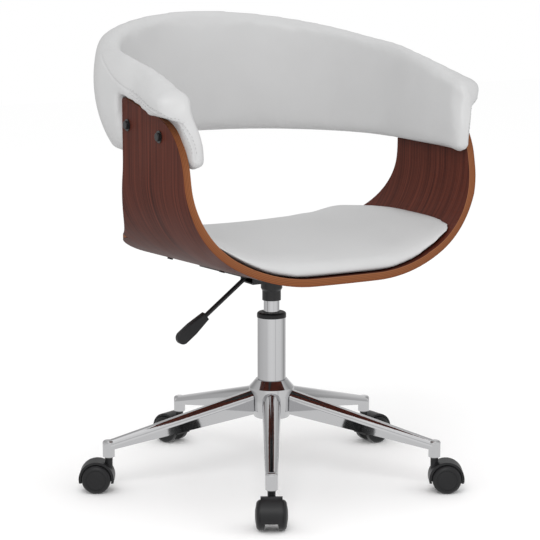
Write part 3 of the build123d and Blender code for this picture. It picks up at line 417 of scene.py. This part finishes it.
def draw_back(co, normal):
    side = math.copysign(1.0, co.x)
    upper = smooth_step(0.62, 0.70, co.z)
    front = smooth_step(-0.12, -0.205, co.y)
    middle = smooth_step(0.12, 0.0, co.y) * smooth_step(-0.17, -0.06, co.y)
    overhang = smooth_step(0.264, 0.294, abs(co.x))
    tip = overhang * smooth_step(-0.188, -0.212, co.y)
    lip = overhang * upper * smooth_step(-0.04, -0.16, co.y) - tip
    strip = (1.0 - overhang) * smooth_step(-0.168, -0.20, co.y) * smooth_step(0.61, 0.668, co.z)
    strip *= smooth_step(0.0, 0.6, side * normal.x)
    thinned = smooth_step(-0.4, 0.4, normal.z) - 0.5
    inner = smooth_step(0.2, 0.8, -side * normal.x) * front * (1.0 - upper)
    behind = smooth_step(0.02, 0.09, co.y) * smooth_step(0.30, 0.18, co.y)
    outer = smooth_step(0.1, 0.6, (co.x * normal.x + co.y * normal.y) / math.hypot(co.x, co.y))
    full = fullness * behind * outer
    outward = lip_out * lip - tip_in * tip + strip_out * strip - inner_in * inner + full_sideways * full
    rearward = full_rearward * full + front * (upper_rearward * upper - lower_forward * (1.0 - upper))
    upward = arm_rise * middle * upper - front_drop * front * upper
    upward = upward - (lip_drop + lip_thinning * thinned) * lip - tip_drop * tip
    return Vector((side * outward, rearward, upward))


def against_shell(co, normal):
    beside = pin_face_from < abs(co.x) < pin_face_to and normal.x * co.x > 0
    return beside and co.y < pin_rear and co.z < pin_top


back_cushion = new_cushion(
    name="back_cushion", sources=("back_cover", "back_foam", "back_board"), voxel=0.0057,
    drawn=draw_back, rounds=6, pinned=against_shell, cap=0.0025, pressure=4.0, settling=3,
)
print("back cushion vertices:", len(back_cushion.data.vertices))

# %% [markdown]
# A seam runs along each lip of the back pad and down the arm's end, where two panels of the cover are
# sewn together. Its points are on the sitter's right, moved with the pad, and the other side mirrors
# them. They are joined by a smooth curve and laid on the skin in even steps.

# %% Seam path
seam_step = 0.002
seam_points = (
    (-0.291, 0.080, 0.755),
    (-0.291, 0.038, 0.722),
    (-0.291, -0.015, 0.701),
    (-0.293, -0.077, 0.690),
    (-0.294, -0.117, 0.687),
    (-0.295, -0.160, 0.682),
    (-0.292, -0.190, 0.678),
    (-0.280, -0.206, 0.664),
    (-0.273, -0.211, 0.644),
    (-0.268, -0.211, 0.624),
    (-0.265, -0.210, 0.604),
)


def smooth_path(points):
    curve = bpy.data.curves.new("seam_path", "CURVE")
    curve.dimensions = "3D"
    spline = curve.splines.new("NURBS")
    spline.points.add(len(points) - 1)
    for knot, point in zip(spline.points, points):
        knot.co = (*point, 1.0)
    spline.order_u = 3
    spline.use_endpoint_u = True
    spline.resolution_u = 24
    holder = bpy.data.objects.new("seam_path", curve)
    line = bpy.data.meshes.new_from_object(holder)
    path = [vertex.co.copy() for vertex in line.vertices]
    bpy.data.objects.remove(holder)
    return path


def even_steps(path, step):
    spots = [path[0]]
    for point in path[1:]:
        while (point - spots[-1]).length >= step:
            spots.append(spots[-1] + (point - spots[-1]).normalized() * step)
    return spots


def on_pad(point):
    _, spot, normal, _ = back_cushion.closest_point_on_mesh(point)
    return spot, normal


outward_right = Vector((-1.0, 0.0, 0.0))
drawn_points = [Vector(point) + draw_back(Vector(point), outward_right) for point in seam_points]
right_seam = even_steps(smooth_path(drawn_points), seam_step)
left_seam = [Vector((-point.x, point.y, point.z)) for point in right_seam]
seams = [[on_pad(point)[0] for point in seam] for seam in (right_seam, left_seam)]
print("seam length in mm:", round(1000 * seam_step * len(right_seam)))

# %% [markdown]
# The seam pulls the leatherette in, and a few small puckers stand beside it half way along the arm. The
# skin is divided finer near the seam, and both effects are vertex weights for a displace modifier.

# %% Seam groove and puckers
fine_reach = 0.008
groove_reach, groove_depth = 0.0035, 0.0016
pucker_reach, pucker_depth, pucker_length = 0.012, 0.0012, 0.011
pucker_sway, sway_rate = 0.35, 41.0
seam_spots = [spot for seam in seams for spot in seam]
seam_tree = KDTree(len(seam_spots))
for number, spot in enumerate(seam_spots):
    seam_tree.insert(spot, number)
seam_tree.balance()
only(back_cushion)
bpy.ops.object.mode_set(mode="EDIT")
bpy.ops.mesh.select_mode(type="FACE")
bpy.ops.mesh.select_all(action="DESELECT")
bpy.ops.object.mode_set(mode="OBJECT")
for face in back_cushion.data.polygons:
    face.select = seam_tree.find(face.center)[2] < fine_reach
bpy.ops.object.mode_set(mode="EDIT")
bpy.ops.mesh.subdivide(number_cuts=1)
bpy.ops.object.mode_set(mode="OBJECT")
groove = back_cushion.vertex_groups.new(name="groove")
puckers = back_cushion.vertex_groups.new(name="puckers")
for vertex in back_cushion.data.vertices:
    _, index, distance = seam_tree.find(vertex.co)
    if distance < groove_reach:
        groove.add([vertex.index], 1.0 - distance / groove_reach, "REPLACE")
    if distance < pucker_reach:
        along = (index % len(right_seam)) * seam_step
        turns = along / pucker_length + pucker_sway * math.sin(along * sway_rate)
        wave = 0.5 + 0.5 * math.sin(2 * math.pi * turns)
        gathered = smooth_step(-0.02, -0.06, vertex.co.y) * smooth_step(-0.15, -0.12, vertex.co.y)
        puckers.add([vertex.index], gathered * wave * (1.0 - distance / pucker_reach), "REPLACE")
apply_modifier(back_cushion, "DISPLACE", vertex_group="groove", strength=-groove_depth, mid_level=0.0)
apply_modifier(back_cushion, "DISPLACE", vertex_group="puckers", strength=-pucker_depth, mid_level=0.0)
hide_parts("back_cover", "back_foam")
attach(back_cushion, "seat")
print("back cushion vertices with its seam:", len(back_cushion.data.vertices))

# %% [markdown]
# A row of stitches holds the cover down on both sides of the seam. One stitch is a short thick thread
# with rounded ends. It is modelled once and copied along both rows, turned to lie along the seam and flat
# on the skin.

# %% One stitch
stitch_length, thread_radius = 0.0030, 0.00035
end_facing, end_inset, end_bulge = 0.9, 0.5, 1.12
bpy.ops.object.select_all(action="DESELECT")
bpy.ops.mesh.primitive_cylinder_add(vertices=8, radius=thread_radius, depth=stitch_length)
stitch = bpy.context.active_object
bpy.ops.object.mode_set(mode="EDIT")
bpy.ops.mesh.select_all(action="DESELECT")
bpy.ops.object.mode_set(mode="OBJECT")
for face in stitch.data.polygons:
    face.select = abs(face.normal.z) > end_facing
bpy.ops.object.mode_set(mode="EDIT")
bpy.ops.mesh.inset(thickness=thread_radius * end_inset)
bpy.ops.transform.resize(value=(1.0, 1.0, end_bulge))
bpy.ops.object.mode_set(mode="OBJECT")
bpy.ops.object.shade_smooth()
print("stitch length in mm:", 1000 * stitch_length)

# %% [markdown]
# The stitches start part way along the arm, and stop a little before the seam's lower end. All of one
# side are joined into one piece, which rides on the seat as the pad does.

# %% Rows of stitches
stitch_gap, row_offset, stitch_lift, stitch_start = 0.0052, 0.0040, 0.0001, -0.045
every, look_ahead, end_margin = round(stitch_gap / seam_step), 2, 4
for side, seam in zip(("right", "left"), seams):
    copies = []
    first = next(step for step, spot in enumerate(seam) if spot.y < stitch_start)
    for row in (-row_offset, row_offset):
        for step in range(first, len(seam) - end_margin, every):
            run = (seam[step + look_ahead] - seam[step - look_ahead]).normalized()
            spot, normal = on_pad(seam[step])
            spot, normal = on_pad(spot + normal.cross(run).normalized() * row)
            cross = normal.cross(run).normalized()
            turn = Matrix((cross, normal, run)).transposed().to_4x4()
            copy = bpy.data.objects.new("stitch_copy", stitch.data.copy())
            copy.data.transform(Matrix.Translation(spot + normal * stitch_lift) @ turn)
            bpy.context.collection.objects.link(copy)
            copies.append(copy)
    bpy.ops.object.select_all(action="DESELECT")
    for copy in copies:
        copy.select_set(True)
    bpy.context.view_layer.objects.active = copies[0]
    bpy.ops.object.join()
    stitches = bpy.context.active_object
    stitches.name = "stitches_" + side
    stitches.data.materials.append(thread)
    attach(stitches, "seat")
    print(stitches.name, "has", len(copies), "stitches")
bpy.data.objects.remove(stitch)

# %% [markdown]
# The photograph was taken on white, so the chair stands on a sheet of white paper. The plain view
# transform keeps white as white, where a film-like one would turn it grey.

# %% Studio floor
bpy.context.scene.view_settings.view_transform = "Standard"
bpy.ops.object.select_all(action="DESELECT")
bpy.ops.mesh.primitive_plane_add(size=14.0)
floor = bpy.context.active_object
floor.name = "studio_floor"
floor.data.materials.append(white_paper)
print("floor size in m:", floor.dimensions.x)

# %% [markdown]
# Chrome shows only what stands around it, and in a white room it would look like white paint. Cards that
# glow in shades of grey stand in for the room that the real chrome reflected. They are hidden from the
# camera and from soft light and cast no shadow, so only reflections show them.

# %% Card maker


def grey(level):
    return (level, level, level, 1.0)


def new_card(name):
    card = bpy.data.materials.new(name)
    card.use_nodes = True
    tree = card.node_tree
    tree.nodes.remove(tree.nodes["Principled BSDF"])
    glow = tree.nodes.new("ShaderNodeEmission")
    tree.links.new(glow.outputs["Emission"], tree.nodes["Material Output"].inputs["Surface"])
    return card, tree, glow


def show_to_mirrors_only(piece):
    piece.visible_camera = False
    piece.visible_diffuse = False
    piece.visible_shadow = False


# %% [markdown]
# A ring of card strips goes round the chair. One ramp sets their tone by height and one by direction,
# brightest towards the camera, so the tube and the legs show the soft dark bands of the photograph.

# %% Studio ring
ring_radius, ring_height, ring_sides = 0.62, 1.3, 96
ring_foot, ring_top, ring_seam = 0.95, 1.0, 0.70
height_greys = ((0.17, 1.0), (0.23, 0.70), (0.33, 0.75), (0.45, 0.95))
strip_greys = (
    (0.06, 0.72), (0.11, 0.88), (0.17, 0.92), (0.24, 0.88), (0.255, 0.66), (0.27, 0.88), (0.38, 0.84),
    (0.44, 0.64), (0.49, 0.40), (0.55, 0.72), (0.66, 0.85), (0.74, 0.72), (0.79, 0.50), (0.88, 0.62),
)
bpy.ops.object.select_all(action="DESELECT")
bpy.ops.mesh.primitive_cylinder_add(
    vertices=ring_sides, radius=ring_radius, depth=ring_height, end_fill_type="NOTHING",
    location=(0.0, 0.0, ring_height / 2),
)
bpy.ops.object.transform_apply(location=True, rotation=False, scale=False)
ring = bpy.context.active_object
ring.name = "studio_ring"
grey_card, tree, glow = new_card("Grey card")
place = tree.nodes.new("ShaderNodeTexCoord")
parts = tree.nodes.new("ShaderNodeSeparateXYZ")
tree.links.new(place.outputs["Object"], parts.inputs["Vector"])
rise = tree.nodes.new("ShaderNodeMapRange")
rise.inputs["From Max"].default_value = ring_height
tree.links.new(parts.outputs["Z"], rise.inputs["Value"])
tone = tree.nodes.new("ShaderNodeValToRGB")
tone.color_ramp.elements[0].color = grey(ring_foot)
tone.color_ramp.elements[1].color = grey(ring_top)
for position, level in height_greys:
    tone.color_ramp.elements.new(position).color = grey(level)
tree.links.new(rise.outputs["Result"], tone.inputs["Fac"])
round_about = tree.nodes.new("ShaderNodeTexGradient")
round_about.gradient_type = "RADIAL"
tree.links.new(place.outputs["Object"], round_about.inputs["Vector"])
strips = tree.nodes.new("ShaderNodeValToRGB")
strips.color_ramp.elements[0].color = grey(ring_seam)
strips.color_ramp.elements[1].color = grey(ring_seam)
for position, level in strip_greys:
    strips.color_ramp.elements.new(position).color = grey(level)
tree.links.new(round_about.outputs["Fac"], strips.inputs["Fac"])
tree.links.new(tone.outputs["Color"], glow.inputs["Color"])
tree.links.new(strips.outputs["Color"], glow.inputs["Strength"])
ring.data.materials.append(grey_card)
show_to_mirrors_only(ring)
print("ring strips:", len(strip_greys))

# %% [markdown]
# A round pale card lies just over the paper, inside the ring. Chrome that looks downward mirrors this card
# in place of the paper, which the chair shades.

# %% Studio tray
tray_height, tray_glow = 0.0005, 0.78
bpy.ops.object.select_all(action="DESELECT")
bpy.ops.mesh.primitive_circle_add(
    vertices=ring_sides, radius=ring_radius, fill_type="NGON", location=(0.0, 0.0, tray_height)
)
bpy.ops.object.transform_apply(location=True, rotation=False, scale=False)
tray = bpy.context.active_object
tray.name = "studio_tray"
pale_card, tree, glow = new_card("Pale card")
glow.inputs["Strength"].default_value = tray_glow
tray.data.materials.append(pale_card)
show_to_mirrors_only(tray)
print("tray radius in m:", ring_radius)

# %% [markdown]
# The light is that of a product photograph: a white sky all round, which fills the shadows, a large soft
# lamp from the front on the sitter's right, and a weak one from the other side.

# %% Sky and lamps
world = bpy.data.worlds.new("Studio")
bpy.context.scene.world = world
world.use_nodes = True
sky = world.node_tree.nodes["Background"]
sky.inputs["Color"].default_value = (1.0, 1.0, 1.0, 1.0)
sky.inputs["Strength"].default_value = 1.0


def area_lamp(name, place, target, size, power):
    lamp = bpy.data.lights.new(name, "AREA")
    lamp.size = size
    lamp.energy = power
    holder = bpy.data.objects.new(name, lamp)
    holder.location = place
    holder.rotation_euler = (Vector(target) - Vector(place)).to_track_quat("-Z", "Y").to_euler()
    bpy.context.collection.objects.link(holder)
    print(name, "of", power, "W")


chair_middle = (0.0, 0.0, 0.5)
area_lamp("key_lamp", place=(-1.6, -2.2, 2.6), target=chair_middle, size=1.6, power=34.0)
area_lamp("fill_lamp", place=(2.2, -1.8, 1.6), target=chair_middle, size=1.8, power=8.0)

# %% [markdown]
# The camera stands where the photograph was taken from. Its place, direction and lens were solved from
# the five leg tips, the hub and the column, so the picture can be laid over the photograph.

# %% Camera
camera_place, camera_direction = (-1.7325, -3.0008, 0.9800), (0.4918, 0.8534, -0.1723)
lens = bpy.data.cameras.new("photo_camera")
lens.sensor_width = 36.0
lens.lens = 133.88
camera = bpy.data.objects.new("photo_camera", lens)
camera.location = camera_place
camera.rotation_euler = Vector(camera_direction).to_track_quat("-Z", "Y").to_euler()
bpy.context.collection.objects.link(camera)
bpy.context.scene.camera = camera
print("camera lens in mm:", lens.lens)
